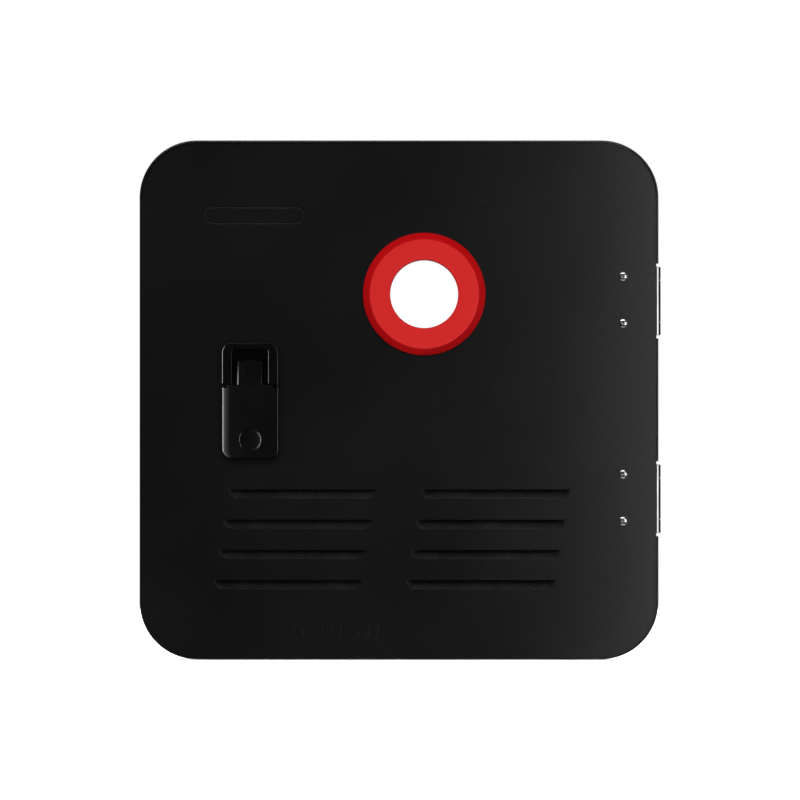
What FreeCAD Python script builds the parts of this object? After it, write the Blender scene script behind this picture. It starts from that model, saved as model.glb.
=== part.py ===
"""Access door of a recreational vehicle's tankless water heater, in its wall frame.

Frame of the part: +X to the right, +Y into the vehicle's wall, +Z up, in millimetres.
The origin is the centre of the wall frame's flange, on the flange's back face.
"""
import FreeCAD
import Part
import math
import os
from FreeCAD import Vector

# ---- Door pan -------------------------------------------------------------------------------
door_width = 381.0
door_height = 381.0
door_corner_r = 42.0
door_sheet = 1.0
door_edge_r = 2.0          # outside radius of the bend all round the front face
door_standoff = 16.0       # front face to the back of the wall flange
door_rim_gap = 4.0         # rear edge of the turned-back rim to the vehicle's wall

# ---- Louvres, pressed inwards, each open along its top edge --------------------------------
louvre_length = 110.0
louvre_reach = 7.3         # slit edge down to where the sheet is flat again
louvre_slope = 36.0        # degrees between the louvre's tongue and the door's face
louvre_bend_r = 1.6
louvre_rows = 4
louvre_pitch = 22.2
louvre_row_shift = 3.5     # each lower row starts this much further left
louvre_group_offset = 70.6
louvre_edge_inset = 124.8  # door's bottom edge up to the top row's slits

# ---- Pressed marks --------------------------------------------------------------------------
mark_depth = 0.35
mark_line = 1.3
badge_length = 74.0
badge_height = 13.0
badge_side_inset = 84.9    # door's left side to the badge's middle
badge_top_inset = 54.8
wave_height = 8.0
wave_swing = 1.0
wave_pitch = 8.0
wave_count = 3
wave_gap = 8.0             # below the exhaust ring's rim
tick_height = 7.4
tick_lean = 14.0
tick_pitch = 6.8
tick_groups = (2, 3, 5, 8)
tick_row_x = -8.1
tick_row_inset = 20.8      # door's bottom edge up to the row

# ---- Exhaust ring ---------------------------------------------------------------------------
ring_x = 18.5
ring_top_inset = 112.8     # door's top edge down to the ring's middle
ring_bore_r = 25.0
ring_face_width = 15.0
ring_bevel = 5.0
ring_proud = 6.0
ring_rim_edge = 1.2
ring_lip = 7.5             # rim beyond the hole in the sheet
ring_back_lip = 4.5
ring_back_taper = 4.0
ring_back_depth = 2.2
ring_taper_depth = 3.0
ring_sleeve_wall = 4.0
ring_sleeve_depth = 26.0   # door's front face to the sleeve's rear end
ring_round = 0.8
ring_fit_gap = 0.05

# ---- Wall frame -----------------------------------------------------------------------------
frame_sheet = 1.2
frame_side_gap = 10.5      # door's side to the flange's outer edge
flange_width = 20.0
frame_corner_r = 32.0
opening_corner_r = 12.0
sleeve_depth = 26.0        # behind the flange's back face
frame_bend_r = 2.2
screw_hole_r = 2.4
screw_inset = 9.0          # hole line to the flange's outer edge
screw_end_inset = 40.0     # corner screws to the flange's other outer edge
gasket_thick = 3.0
gasket_inset = 1.0
gasket_clear_r = 4.6
bumper_inset = 15.0
bumper_hole_r = 2.6
bumper_base_r = 5.5
bumper_tip_r = 4.0
bumper_gap = 0.3
bumper_barb_r = 3.3

# ---- Hinges ---------------------------------------------------------------------------------
hinge_z = 72.6             # above and below the middle of the door
hinge_length = 50.0
hinge_centre_knuckle = 30.0
knuckle_gap = 0.4
barrel_r = 2.5
barrel_overhang = 1.65     # barrel stands out past the door's side by this much
barrel_set_back = 0.3      # barrel's front behind the back of the door's face
hinge_pin_r = 1.25
hinge_running_gap = 0.05
hinge_pin_end = 0.3
leaf_thick = 1.2
door_leaf_inset = 36.0     # door's side to the leaf's inner edge
notch_length = 55.0
notch_depth = 1.6
rivet_inset = 26.0
rivet_spacing = 34.4
rivet_rise = 0.7            # rivet pair's middle above the barrel's middle
foot_rivet_spacing = 34.0
rivet_r = 1.6
rivet_head_r = 3.3
rivet_head_high = 1.5
rivet_dimple_r = 0.85
rivet_tail_r = 2.7
rivet_tail_high = 1.8
rivet_gap = 0.05
foot_edge = 7.0            # rivet line to the frame leaf's inner edge
foot_rivet_edge = 9.5      # flange's outer edge to the rivet line
foot_rivet_r = 2.0
foot_rivet_head_r = 3.9
foot_rivet_head_high = 1.6

# ---- Latch ----------------------------------------------------------------------------------
latch_side_inset = 81.2    # door's left side to the latch's middle
latch_louvre_gap = 22.5    # top row's slit up to the latch's bottom
latch_width = 41.4
latch_height = 84.8
latch_corner_r = 7.0
latch_proud = 5.5
bezel_thick = 2.2
bezel_side_lip = 2.2
bezel_end_lip = 2.9
body_wall = 1.6
cutout_gap = 0.2
pocket_side_wall = 5.0
pocket_top_edge = 4.3      # bezel's top down to the pocket
floor_thick = 1.3
paddle_thick = 2.8
roll_r = 4.7
roll_end_gap = 0.4
pin_v = 7.4                # paddle pin above the latch's centre
pin_r = 1.5
pin_running_gap = 0.05
swing_gap = 0.4
paddle_angle = 22.0
neck_width = 18.7
neck_top_gap = 7.9         # pocket's top down to the neck's top edge
neck_thick = 2.6
neck_sink = 1.0            # neck's top edge behind the door's front face
lug_width = 3.0
lug_edge = 2.0             # lug's outer side to the roll's end
lug_side_gap = 0.3
lug_r = 2.8
peg_r = 2.0
peg_reach = 18.8
dimple_r = 7.9
dimple_edge = 13.8         # bezel's bottom up to the thumb dimple's middle
dimple_depth = 0.6
bolt_thick = 3.0
bolt_gap = 0.3
bolt_height = 18.0
bolt_v = 4.6               # middle of the bolt's body above the latch's centre
slot_gap = 0.65
bolt_margin = 3.0
tongue_height = 14.0
bolt_engagement = 5.0      # bolt's tip past the strike's edge
strike_gap = 0.3           # bolt behind the strike
nose_length = 12.0
nose_thick = 7.0
cover_thick = 1.6
cover_height = 38.0
cover_screw_inset = 3.35
cover_screw_r = 1.1
cover_head_r = 2.1
cover_head_high = 1.3
spring_wire_r = 0.3
spring_coil_r = 1.6
spring_turns = 7
ear_high = 1.3
ear_length = 10.0
ear_depth = 6.0
strike_thick = 2.0
strike_height = 56.0
strike_inset = 2.5         # flange's outer edge to the strike's outer edge
strike_reach = 17.0        # past the sleeve's inner face
strike_rivet_spacing = 40.0

# ---- Places worked out from the sizes -------------------------------------------------------
front_y = -door_standoff
face_back_y = front_y + door_sheet
door_side_x = door_width / 2
door_top_z = door_height / 2
door_rear_y = gasket_thick - door_rim_gap
flange_front_y = -frame_sheet
frame_width = door_width - 2 * frame_side_gap
frame_height = door_height - 2 * frame_side_gap
opening_width = frame_width - 2 * flange_width
opening_height = frame_height - 2 * flange_width
ring_z = door_top_z - ring_top_inset
ring_face_r = ring_bore_r + ring_face_width
ring_rim_r = ring_face_r + ring_bevel
ring_neck_r = ring_rim_r - ring_lip
ring_back_r = ring_neck_r + ring_back_lip
ring_sleeve_r = ring_bore_r + ring_sleeve_wall
louvre_top_z = louvre_edge_inset - door_top_z
hinge_axis_x = door_side_x + barrel_overhang - barrel_r
hinge_axis_y = face_back_y + barrel_set_back + barrel_r
notch_x = door_side_x - notch_depth
rivet_x = door_side_x - rivet_inset
foot_rivet_x = frame_width / 2 - foot_rivet_edge
latch_x = latch_side_inset - door_side_x
latch_z = louvre_top_z + latch_louvre_gap + latch_height / 2
pin_y = front_y - latch_proud + roll_r
pin_z = latch_z + pin_v
body_width = latch_width - 2 * bezel_side_lip
body_height = latch_height - 2 * bezel_end_lip
pocket_width = body_width - 2 * pocket_side_wall
pocket_top = latch_height / 2 - pocket_top_edge
neck_top = pocket_top - neck_top_gap
roll_half = body_width / 2 - body_wall - roll_end_gap
lug_outer = roll_half - lug_edge
lug_inner = lug_outer - lug_width
paddle_bottom = -latch_height / 2
cover_screw_u = body_width / 2 - cover_screw_inset
cover_screw_v = cover_height / 2 - cover_screw_inset
bolt_front_y = flange_front_y + strike_gap
bolt_back_y = bolt_front_y + bolt_thick
cover_front_y = bolt_back_y + bolt_gap
bolt_travel = (bolt_front_y + bolt_thick / 2 - pin_y) * math.tan(math.radians(paddle_angle))
floor_depth = bolt_front_y - bolt_gap - floor_thick - front_y
strike_tip_x = strike_reach - opening_width / 2
bolt_tip_x = strike_tip_x - bolt_engagement
screw_line_x = frame_width / 2 - screw_inset
screw_line_z = frame_height / 2 - screw_inset


# ---- Small drawing helpers ------------------------------------------------------------------
def flat_face(edges):
    """Face inside closed edges."""
    return Part.Face(Part.Wire(Part.__sortEdges__(edges)))


def segment(a, b):
    return Part.LineSegment(a, b).toShape()


def arc(a, middle, b):
    return Part.Arc(a, middle, b).toShape()


def prism(face, y0, y1):
    """Solid from a face drawn at y = 0, between two depths."""
    solid = face.copy()
    solid.translate(Vector(0, y0, 0))
    return solid.extrude(Vector(0, y1 - y0, 0))


def rounded_rect(width, height, radius, cx=0.0, cz=0.0):
    """Rounded rectangle in the XZ plane at y = 0."""
    hw, hh, k = width / 2, height / 2, radius * (1 - math.sqrt(0.5))
    edges = []
    for sx, sz in ((1, 1), (-1, 1), (-1, -1), (1, -1)):
        a = Vector(cx + sx * hw, 0, cz + sz * (hh - radius))
        b = Vector(cx + sx * (hw - radius), 0, cz + sz * hh)
        m = Vector(cx + sx * (hw - k), 0, cz + sz * (hh - k))
        edges.append(arc(a, m, b))
    for sx in (1, -1):
        x = cx + sx * hw
        edges.append(segment(Vector(x, 0, cz - hh + radius), Vector(x, 0, cz + hh - radius)))
    for sz in (1, -1):
        z = cz + sz * hh
        edges.append(segment(Vector(cx - hw + radius, 0, z), Vector(cx + hw - radius, 0, z)))
    return flat_face(edges)


def rect_block(x0, x1, y0, y1, z0, z1):
    return Part.makeBox(x1 - x0, y1 - y0, z1 - z0, Vector(x0, y0, z0))


def y_rod(radius, x, z, y0, y1):
    """Cylinder along Y."""
    return Part.makeCylinder(radius, y1 - y0, Vector(x, y0, z), Vector(0, 1, 0))


def x_rod(radius, y, z, x0, x1):
    """Cylinder along X."""
    return Part.makeCylinder(radius, x1 - x0, Vector(x0, y, z), Vector(1, 0, 0))


def z_rod(radius, x, y, z0, z1):
    """Cylinder along Z."""
    return Part.makeCylinder(radius, z1 - z0, Vector(x, y, z0), Vector(0, 0, 1))


def stadium(length, width, cx, cz, angle=0.0):
    """Round-ended bar in the XZ plane at y = 0, turned by an angle from +X."""
    face = rounded_rect(length, width, width / 2 - 1e-4, 0, 0)
    face.rotate(Vector(0, 0, 0), Vector(0, 1, 0), -angle)
    face.translate(Vector(cx, 0, cz))
    return face


def edges_at_y(shape, y):
    """Edges that lie in the plane at that depth."""
    found = []
    for edge in shape.Edges:
        box = edge.BoundBox
        if abs(box.YMin - y) < 1e-4 and abs(box.YMax - y) < 1e-4:
            found.append(edge)
    return found


def yz_prism(points, x0, x1):
    """Solid from a polygon of (y, z) points, between two places along X."""
    corners = [Vector(x0, y, z) for y, z in points]
    return Part.Face(Part.makePolygon(corners + corners[:1])).extrude(Vector(x1 - x0, 0, 0))


def revolve_y(points, x, z):
    """Solid of revolution about the Y-parallel axis at x, z, from (radius, y) points."""
    corners = [Vector(x + r, y, z) for r, y in points]
    face = Part.Face(Part.makePolygon(corners + corners[:1]))
    return face.revolve(Vector(x, 0, z), Vector(0, 1, 0), 360)


def fuse_all(solids):
    """One clean solid from touching or overlapping solids."""
    joined = solids[0].multiFuse(solids[1:]).removeSplitter()
    return joined.Solids[0] if len(joined.Solids) == 1 else joined


def both_hinges():
    return (hinge_z, -hinge_z)


# ---- Door pan with louvres and marks --------------------------------------------------------
def louvre_profile(x, slit_z):
    """Cross-section of the pressed tongue at x, hanging down from the slit edge."""
    slope = math.radians(louvre_slope)
    outer_r, inner_r = louvre_bend_r, louvre_bend_r - door_sheet
    drop = outer_r * (1 - math.cos(slope)) + (louvre_reach - outer_r * math.sin(slope)) * math.tan(slope)

    def at(reach, depth):
        return Vector(x, front_y + depth, slit_z - reach)

    def on_bend(radius, angle):
        return at(louvre_reach - radius * math.sin(angle), outer_r - radius * math.cos(angle))

    front_top, back_top = at(0, drop), at(0, drop + door_sheet / math.cos(slope))
    return flat_face([
        segment(front_top, on_bend(outer_r, slope)),
        arc(on_bend(outer_r, slope), on_bend(outer_r, slope / 2), on_bend(outer_r, 0)),
        segment(on_bend(outer_r, 0), on_bend(inner_r, 0)),
        arc(on_bend(inner_r, 0), on_bend(inner_r, slope / 2), on_bend(inner_r, slope)),
        segment(on_bend(inner_r, slope), back_top),
        segment(back_top, front_top),
    ])


def louvre_places():
    """(left end, slit height) of each louvre."""
    places = []
    for row in range(louvre_rows):
        for side in (-1, 1):
            middle = side * louvre_group_offset - row * louvre_row_shift
            places.append((middle - louvre_length / 2, louvre_top_z - row * louvre_pitch))
    return places


def louvre_tongue(left_x, slit_z):
    """Straight run and two quarter-round ends of one louvre."""
    x0, x1 = left_x + louvre_reach, left_x + louvre_length - louvre_reach
    run = louvre_profile(x0, slit_z).extrude(Vector(x1 - x0, 0, 0))
    left = louvre_profile(x0, slit_z).revolve(Vector(x0, 0, slit_z), Vector(0, 1, 0), 90)
    right = louvre_profile(x1, slit_z).revolve(Vector(x1, 0, slit_z), Vector(0, 1, 0), -90)
    return [run, left, right]


def louvre_hole(left_x, slit_z):
    """What the louvre takes out of the flat sheet."""
    x0, x1 = left_x + louvre_reach, left_x + louvre_length - louvre_reach
    run = rect_block(x0, x1, front_y, face_back_y, slit_z - louvre_reach, slit_z)
    ends = [y_rod(louvre_reach, x, slit_z, front_y, face_back_y) for x in (x0, x1)]
    below = rect_block(left_x - 1, left_x + louvre_length + 1, front_y - 1, face_back_y + 1,
                       slit_z - louvre_reach - 1, slit_z)
    return run.fuse(ends).common(below)


def wave_mark(cx, cz):
    """One S-shaped heat wave of two arcs, as a groove."""
    half = wave_height / 2
    radius = half * half / (8 * wave_swing) + wave_swing / 2
    pieces = []
    for side in (-1, 1):
        middle_z = cz + side * half / 2
        centre_x = cx - side * (radius - wave_swing)
        ring = y_rod(radius + mark_line / 2, centre_x, middle_z, front_y, front_y + mark_depth)
        ring = ring.cut(y_rod(radius - mark_line / 2, centre_x, middle_z, front_y, front_y + mark_depth))
        reach = side * (wave_swing + mark_line)
        window = rect_block(min(cx - side * mark_line, cx + reach), max(cx - side * mark_line, cx + reach),
                            front_y, front_y + mark_depth, middle_z - half / 2, middle_z + half / 2)
        pieces.append(ring.common(window))
    for z in (cz - half, cz, cz + half):
        pieces.append(y_rod(mark_line / 2, cx, z, front_y, front_y + mark_depth))
    return fuse_all(pieces)


def marks():
    """Blank name badge outline, heat waves and a row of plain ticks, all shallow grooves."""
    badge_x, badge_z = badge_side_inset - door_side_x, door_top_z - badge_top_inset
    tick_row_z = tick_row_inset - door_top_z
    outline = stadium(badge_length, badge_height, badge_x, badge_z)
    outline = outline.cut(stadium(badge_length - 2 * mark_line, badge_height - 2 * mark_line, badge_x, badge_z))
    grooves = [prism(outline, front_y, front_y + mark_depth)]
    wave_z = ring_z - ring_rim_r - wave_gap - wave_height / 2
    for n in range(wave_count):
        grooves.append(wave_mark(ring_x + (n - (wave_count - 1) / 2) * wave_pitch, wave_z))
    places = sum(tick_groups) + len(tick_groups) - 1
    x = tick_row_x - (places - 1) * tick_pitch / 2
    for group in tick_groups:
        for _ in range(group):
            tick = stadium(tick_height, mark_line, x, tick_row_z, 90 - tick_lean)
            grooves.append(prism(tick, front_y, front_y + mark_depth))
            x += tick_pitch
        x += tick_pitch
    return grooves


def make_door_skin():
    outer = prism(rounded_rect(door_width, door_height, door_corner_r), front_y, door_rear_y)
    outer = outer.makeFillet(door_edge_r, edges_at_y(outer, front_y))
    inner = prism(rounded_rect(door_width - 2 * door_sheet, door_height - 2 * door_sheet,
                               door_corner_r - door_sheet), face_back_y, door_rear_y + 1)
    inner = inner.makeFillet(door_edge_r - door_sheet, edges_at_y(inner, face_back_y))
    cuts = [inner]
    cuts += [louvre_hole(*place) for place in louvre_places()]
    cuts.append(y_rod(ring_neck_r, ring_x, ring_z, front_y - 1, face_back_y + 1))
    cutout = rounded_rect(body_width + 2 * cutout_gap, body_height + 2 * cutout_gap, body_wall, latch_x, latch_z)
    cuts.append(prism(cutout, front_y - 1, face_back_y + 1))
    for z in both_hinges():
        cuts.append(rect_block(notch_x, door_side_x + 1, front_y - 1, door_rear_y + 1,
                               z - notch_length / 2, z + notch_length / 2))
        for dz in door_rivet_rows():
            cuts.append(y_rod(rivet_r + rivet_gap, rivet_x, z + dz, front_y - 1, face_back_y + 1))
    cuts += marks()
    skin = outer.cut(cuts)
    tongues = [solid for place in louvre_places() for solid in louvre_tongue(*place)]
    return fuse_all([skin] + tongues)


# ---- Exhaust ring ---------------------------------------------------------------------------
def make_exhaust_ring():
    y = front_y
    back = y + door_sheet + ring_back_depth
    ring = revolve_y([
        (ring_bore_r, y - ring_proud),
        (ring_face_r, y - ring_proud),
        (ring_rim_r, y - ring_rim_edge),
        (ring_rim_r, y),
        (ring_neck_r - ring_fit_gap, y),
        (ring_neck_r - ring_fit_gap, y + door_sheet),
        (ring_back_r, y + door_sheet),
        (ring_back_r, back),
        (ring_back_r - ring_back_taper, back + ring_taper_depth),
        (ring_sleeve_r, back + ring_taper_depth),
        (ring_sleeve_r, y + ring_sleeve_depth),
        (ring_bore_r, y + ring_sleeve_depth),
    ], ring_x, ring_z)
    ends = [e for e in edges_at_y(ring, y - ring_proud) + edges_at_y(ring, y + ring_sleeve_depth)]
    round_edges = [e for e in ends if abs(e.Curve.Radius - ring_face_r) > 1]
    ring = ring.makeFillet(ring_round, round_edges)
    return ring


# ---- Wall frame, gasket and bumpers ---------------------------------------------------------
def corner_screws():
    """The twelve wall screws: two rectangles of four, and one at the middle of each side."""
    a, b = screw_line_x, screw_line_z
    side_z, end_x = frame_height / 2 - screw_end_inset, frame_width / 2 - screw_end_inset
    sides = [(sx * a, sz * side_z) for sx in (-1, 1) for sz in (-1, 1)]
    ends = [(sx * end_x, sz * b) for sx in (-1, 1) for sz in (-1, 1)]
    return sides + ends + [(a, 0), (-a, 0), (0, b), (0, -b)]


def bumper_places():
    x, z = frame_width / 2 - bumper_inset, frame_height / 2 - bumper_inset
    return [(sx * x, sz * z) for sx in (-1, 1) for sz in (-1, 1)]


def door_rivet_rows():
    """Heights of a hinge's two door rivets from the middle of its barrel."""
    return (rivet_rise - rivet_spacing / 2, rivet_rise + rivet_spacing / 2)


def foot_rivets():
    return [(foot_rivet_x, z + dz) for z in both_hinges()
            for dz in (-foot_rivet_spacing / 2, foot_rivet_spacing / 2)]


def strike_rivets():
    x = -screw_line_x
    return [(x, latch_z + bolt_v + dz) for dz in (-strike_rivet_spacing / 2, strike_rivet_spacing / 2)]


def make_mounting_frame():
    flange = prism(rounded_rect(frame_width, frame_height, frame_corner_r), flange_front_y, 0)
    sleeve = prism(rounded_rect(opening_width + 2 * frame_sheet, opening_height + 2 * frame_sheet,
                                opening_corner_r + frame_sheet), flange_front_y, sleeve_depth)
    solid = flange.fuse(sleeve).removeSplitter()
    hollow = prism(rounded_rect(opening_width, opening_height, opening_corner_r),
                   flange_front_y - 1, sleeve_depth + 1)
    solid = solid.cut(hollow)
    inner = [e for e in edges_at_y(solid, flange_front_y)
             if max(abs(e.BoundBox.XMax), abs(e.BoundBox.XMin)) < opening_width / 2 + 0.1
             and max(abs(e.BoundBox.ZMax), abs(e.BoundBox.ZMin)) < opening_height / 2 + 0.1]
    solid = solid.makeFillet(frame_bend_r, inner)
    holes = [y_rod(screw_hole_r, x, z, flange_front_y - 1, 1) for x, z in corner_screws()]
    holes += [y_rod(bumper_hole_r, x, z, flange_front_y - 1, 1) for x, z in bumper_places()]
    holes += [y_rod(foot_rivet_r + rivet_gap, x, z, flange_front_y - 1, 1)
              for x, z in foot_rivets() + strike_rivets()]
    return solid.cut(holes)


def make_wall_gasket():
    outer = rounded_rect(frame_width - 2 * gasket_inset, frame_height - 2 * gasket_inset,
                         frame_corner_r - gasket_inset)
    side = 2 * (frame_sheet + gasket_inset)
    inner = rounded_rect(opening_width + side, opening_height + side, opening_corner_r + side / 2)
    ring = prism(outer.cut(inner), 0, gasket_thick)
    places = corner_screws() + bumper_places() + foot_rivets() + strike_rivets()
    return ring.cut([y_rod(gasket_clear_r, x, z, -1, gasket_thick + 1) for x, z in places])


def make_bumpers():
    tip_y = face_back_y + bumper_gap
    rib = (flange_front_y - tip_y) / 5
    solids = []
    for x, z in bumper_places():
        points = [(0, tip_y), (bumper_tip_r - 1, tip_y), (bumper_tip_r, tip_y + 1)]
        for n in range(1, 4):
            y = tip_y + n * rib
            r = bumper_tip_r + (bumper_base_r - bumper_tip_r) * n / 4
            points += [(r, y), (r - 0.6, y + 0.5), (r, y + 1.0)]
        points += [(bumper_base_r, flange_front_y - 1.5), (bumper_base_r, flange_front_y),
                   (bumper_hole_r - rivet_gap, flange_front_y), (bumper_hole_r - rivet_gap, 0),
                   (bumper_barb_r, 0), (bumper_hole_r - 0.6, gasket_thick - 0.5), (0, gasket_thick - 0.5)]
        solids.append(revolve_y(points, x, z))
    return solids


# ---- Rivets ---------------------------------------------------------------------------------
def blind_rivet(x, z, head_y, tail_y, shank_r, head_r, head_high, tail_r):
    """Dome-headed blind rivet along +Y, with the mandrel's dimple in its head."""
    dome_r = (head_r ** 2 + head_high ** 2) / (2 * head_high)
    dome = Part.makeSphere(dome_r, Vector(x, head_y - head_high + dome_r, z))
    dome = dome.common(y_rod(head_r + 1, x, z, head_y - head_high - 1, head_y))
    shank = y_rod(shank_r, x, z, head_y, tail_y)
    bulge = Part.makeCone(tail_r, tail_r * 0.75, rivet_tail_high, Vector(x, tail_y, z), Vector(0, 1, 0))
    dimple = y_rod(rivet_dimple_r, x, z, head_y - head_high - 1, head_y - head_high * 0.45)
    return fuse_all([dome, shank, bulge]).cut(dimple)


def make_door_rivets():
    return [blind_rivet(rivet_x, z + dz, front_y, face_back_y + leaf_thick, rivet_r, rivet_head_r,
                        rivet_head_high, rivet_tail_r)
            for z in both_hinges() for dz in door_rivet_rows()]


def make_foot_rivets():
    return [blind_rivet(x, z, flange_front_y - leaf_thick, 0, foot_rivet_r, foot_rivet_head_r,
                        foot_rivet_head_high, rivet_tail_r) for x, z in foot_rivets()]


def make_strike_rivets():
    return [blind_rivet(x, z, flange_front_y - strike_thick, 0, foot_rivet_r, foot_rivet_head_r,
                        foot_rivet_head_high, rivet_tail_r) for x, z in strike_rivets()]


# ---- Hinges ---------------------------------------------------------------------------------
def make_door_leaf(z):
    """Flat leaf behind the door's face with the centre knuckle."""
    x0, x1 = door_side_x - door_leaf_inset, hinge_axis_x - barrel_r * 0.35
    half, knuckle = hinge_length / 2, hinge_centre_knuckle / 2
    plate = rect_block(x0, notch_x - 3.0, face_back_y, face_back_y + leaf_thick, z - half, z + half)
    corners = [e for e in plate.Edges if abs(e.BoundBox.XMax - x0) < 1e-4 and e.BoundBox.YLength > 1]
    plate = plate.makeFillet(3.0, corners)
    root_y = face_back_y + barrel_set_back
    root = rect_block(notch_x - 3.5, x1, root_y, root_y + leaf_thick, z - knuckle, z + knuckle)
    roll = z_rod(barrel_r, hinge_axis_x, hinge_axis_y, z - knuckle, z + knuckle)
    leaf = fuse_all([plate, root, roll])
    cuts = [z_rod(hinge_pin_r + hinge_running_gap, hinge_axis_x, hinge_axis_y, z - half, z + half)]
    cuts += [y_rod(rivet_r + rivet_gap, rivet_x, z + dz, face_back_y - 1, face_back_y + leaf_thick + 1)
             for dz in door_rivet_rows()]
    return leaf.cut(cuts)


def make_frame_leaf(z):
    """Angled leaf from the end knuckles back through the door's notch to the flange."""
    half, knuckle = hinge_length / 2, hinge_centre_knuckle / 2 + knuckle_gap
    x0 = hinge_axis_x - barrel_r
    foot_x = foot_rivet_x - foot_edge
    foot_y = flange_front_y - leaf_thick
    wall = rect_block(x0, x0 + leaf_thick, hinge_axis_y, flange_front_y, z - half, z + half)
    foot = rect_block(foot_x, x0 + leaf_thick, foot_y, flange_front_y, z - half, z + half)
    inside = rect_block(x0 - leaf_thick, x0, foot_y - leaf_thick, foot_y, z - half, z + half)
    inside = inside.cut(z_rod(leaf_thick, x0 - leaf_thick, foot_y - leaf_thick, z - half, z + half))
    bend = fuse_all([wall, foot, inside])
    outside = [e for e in bend.Edges if e.BoundBox.ZLength > half and e.BoundBox.XMax > x0 + leaf_thick - 1e-3
               and e.BoundBox.YMax > flange_front_y - 1e-3]
    bend = bend.makeFillet(leaf_thick * 1.6, outside)
    clear = rect_block(x0 - 1, x0 + leaf_thick + 1, hinge_axis_y - 1, hinge_axis_y + barrel_r + 1.0,
                       z - knuckle, z + knuckle)
    rolls = [z_rod(barrel_r, hinge_axis_x, hinge_axis_y, z - half, z - knuckle),
             z_rod(barrel_r, hinge_axis_x, hinge_axis_y, z + knuckle, z + half)]
    leaf = fuse_all([bend.cut(clear)] + rolls)
    cuts = [z_rod(hinge_pin_r, hinge_axis_x, hinge_axis_y, z - half - 1, z + half + 1)]
    cuts += [y_rod(foot_rivet_r + rivet_gap, foot_rivet_x, z + dz, foot_y - 1, 1)
             for dz in (-foot_rivet_spacing / 2, foot_rivet_spacing / 2)]
    return leaf.cut(cuts)


def make_hinge_pin(z):
    half = hinge_length / 2 + hinge_pin_end
    pin = z_rod(hinge_pin_r, hinge_axis_x, hinge_axis_y, z - half, z + half)
    ends = [e for e in pin.Edges if e.BoundBox.ZLength < 1e-4]
    return pin.makeChamfer(hinge_pin_end, ends)


# ---- Latch ----------------------------------------------------------------------------------
def latch_block(u0, u1, d0, d1, v0, v1):
    """Box in the latch's own places: u across, d behind the door's front, v above the centre."""
    return rect_block(latch_x + u0, latch_x + u1, front_y + d0, front_y + d1, latch_z + v0, latch_z + v1)


def floor_window():
    """Slot in the housing's floor for the paddle's peg."""
    drop = (floor_depth + floor_thick + front_y - pin_y) * math.tan(math.radians(paddle_angle))
    return latch_block(-peg_r - 0.6, peg_r + 0.6, floor_depth - 1, floor_depth + floor_thick + 1,
                       pin_v - drop - peg_r - 1.4, pin_v + peg_r + 0.8)


def snap_ears():
    """Wedges on the housing's long sides that hold it behind the sheet."""
    ears = []
    for side in (-1, 1):
        u = side * body_width / 2
        for v in (-24.0, 26.0):
            points = [Vector(latch_x + u, face_back_y + 0.1, latch_z + v - ear_length / 2),
                      Vector(latch_x + u + side * ear_high, face_back_y + 0.1, latch_z + v - ear_length / 2),
                      Vector(latch_x + u, face_back_y + ear_depth, latch_z + v - ear_length / 2)]
            face = Part.Face(Part.makePolygon(points + points[:1]))
            ears.append(face.extrude(Vector(0, 0, ear_length)))
    return ears


def make_latch_housing():
    outline = rounded_rect(latch_width, latch_height, latch_corner_r, latch_x, latch_z)
    rail_v = pin_v + roll_r + swing_gap
    half_w, half_h = latch_width / 2, latch_height / 2
    raised = prism(outline, front_y - latch_proud, front_y)
    raised = raised.makeFillet(1.2, edges_at_y(raised, front_y - latch_proud))
    raised = raised.common(latch_block(-half_w, half_w, -latch_proud, 0, rail_v - roll_r, half_h))
    low = prism(outline, front_y - bezel_thick, front_y)
    body = prism(rounded_rect(body_width, body_height, body_wall, latch_x, latch_z),
                 front_y, front_y + floor_depth + floor_thick)
    rear = latch_block(-body_width / 2, body_width / 2, floor_depth, cover_front_y - front_y,
                       bolt_v - cover_height / 2, bolt_v + cover_height / 2)
    solid = fuse_all([raised, low, body, rear] + snap_ears())

    inner_w = body_width / 2 - body_wall
    pocket_w = pocket_width / 2
    bottom = -body_height / 2 + body_wall
    pocket = latch_block(-pocket_w, pocket_w, -latch_proud - 1, floor_depth, rail_v - 1, pocket_top)
    pocket = pocket.makeFillet(1.5, [e for e in pocket.Edges if e.BoundBox.YLength > floor_depth
                                     and e.BoundBox.ZMin > latch_z + pocket_top - 1])
    well = latch_block(-inner_w, inner_w, -latch_proud - 1, floor_depth, bottom, rail_v)
    swing = x_rod(roll_r + swing_gap, pin_y, pin_z, latch_x - half_w - 1, latch_x + half_w + 1)
    swing = swing.common(latch_block(-half_w - 1, half_w + 1, -latch_proud - 1, 0, -half_h, half_h))
    above = latch_block(-half_w - 1, half_w + 1, -latch_proud - 1, -bezel_thick, -half_h - 1, pin_v)
    channel = latch_block(-body_width, body_width / 2 - body_wall, floor_depth + floor_thick,
                          cover_front_y - front_y + 1,
                          bolt_v - bolt_height / 2 - bolt_gap, bolt_v + bolt_height / 2 + bolt_gap)
    cuts = [pocket, well, swing, above, channel, floor_window()]
    for su in (-1, 1):
        for sv in (-1, 1):
            cuts.append(y_rod(cover_screw_r, latch_x + su * cover_screw_u, latch_z + bolt_v + sv * cover_screw_v,
                              cover_front_y - 3.5, cover_front_y + 1))
    solid = solid.cut(cuts)
    lugs = []
    for side in (-1, 1):
        u0, u1 = sorted((side * lug_inner, side * lug_outer))
        stem = latch_block(u0, u1, pin_y - front_y, floor_depth, pin_v - lug_r, pin_v + lug_r)
        eye = x_rod(lug_r, pin_y, pin_z, latch_x + u0, latch_x + u1)
        lugs += [stem, eye]
    solid = fuse_all([solid] + lugs)
    return solid.cut(x_rod(pin_r, pin_y, pin_z, latch_x - roll_half, latch_x + roll_half))


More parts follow.
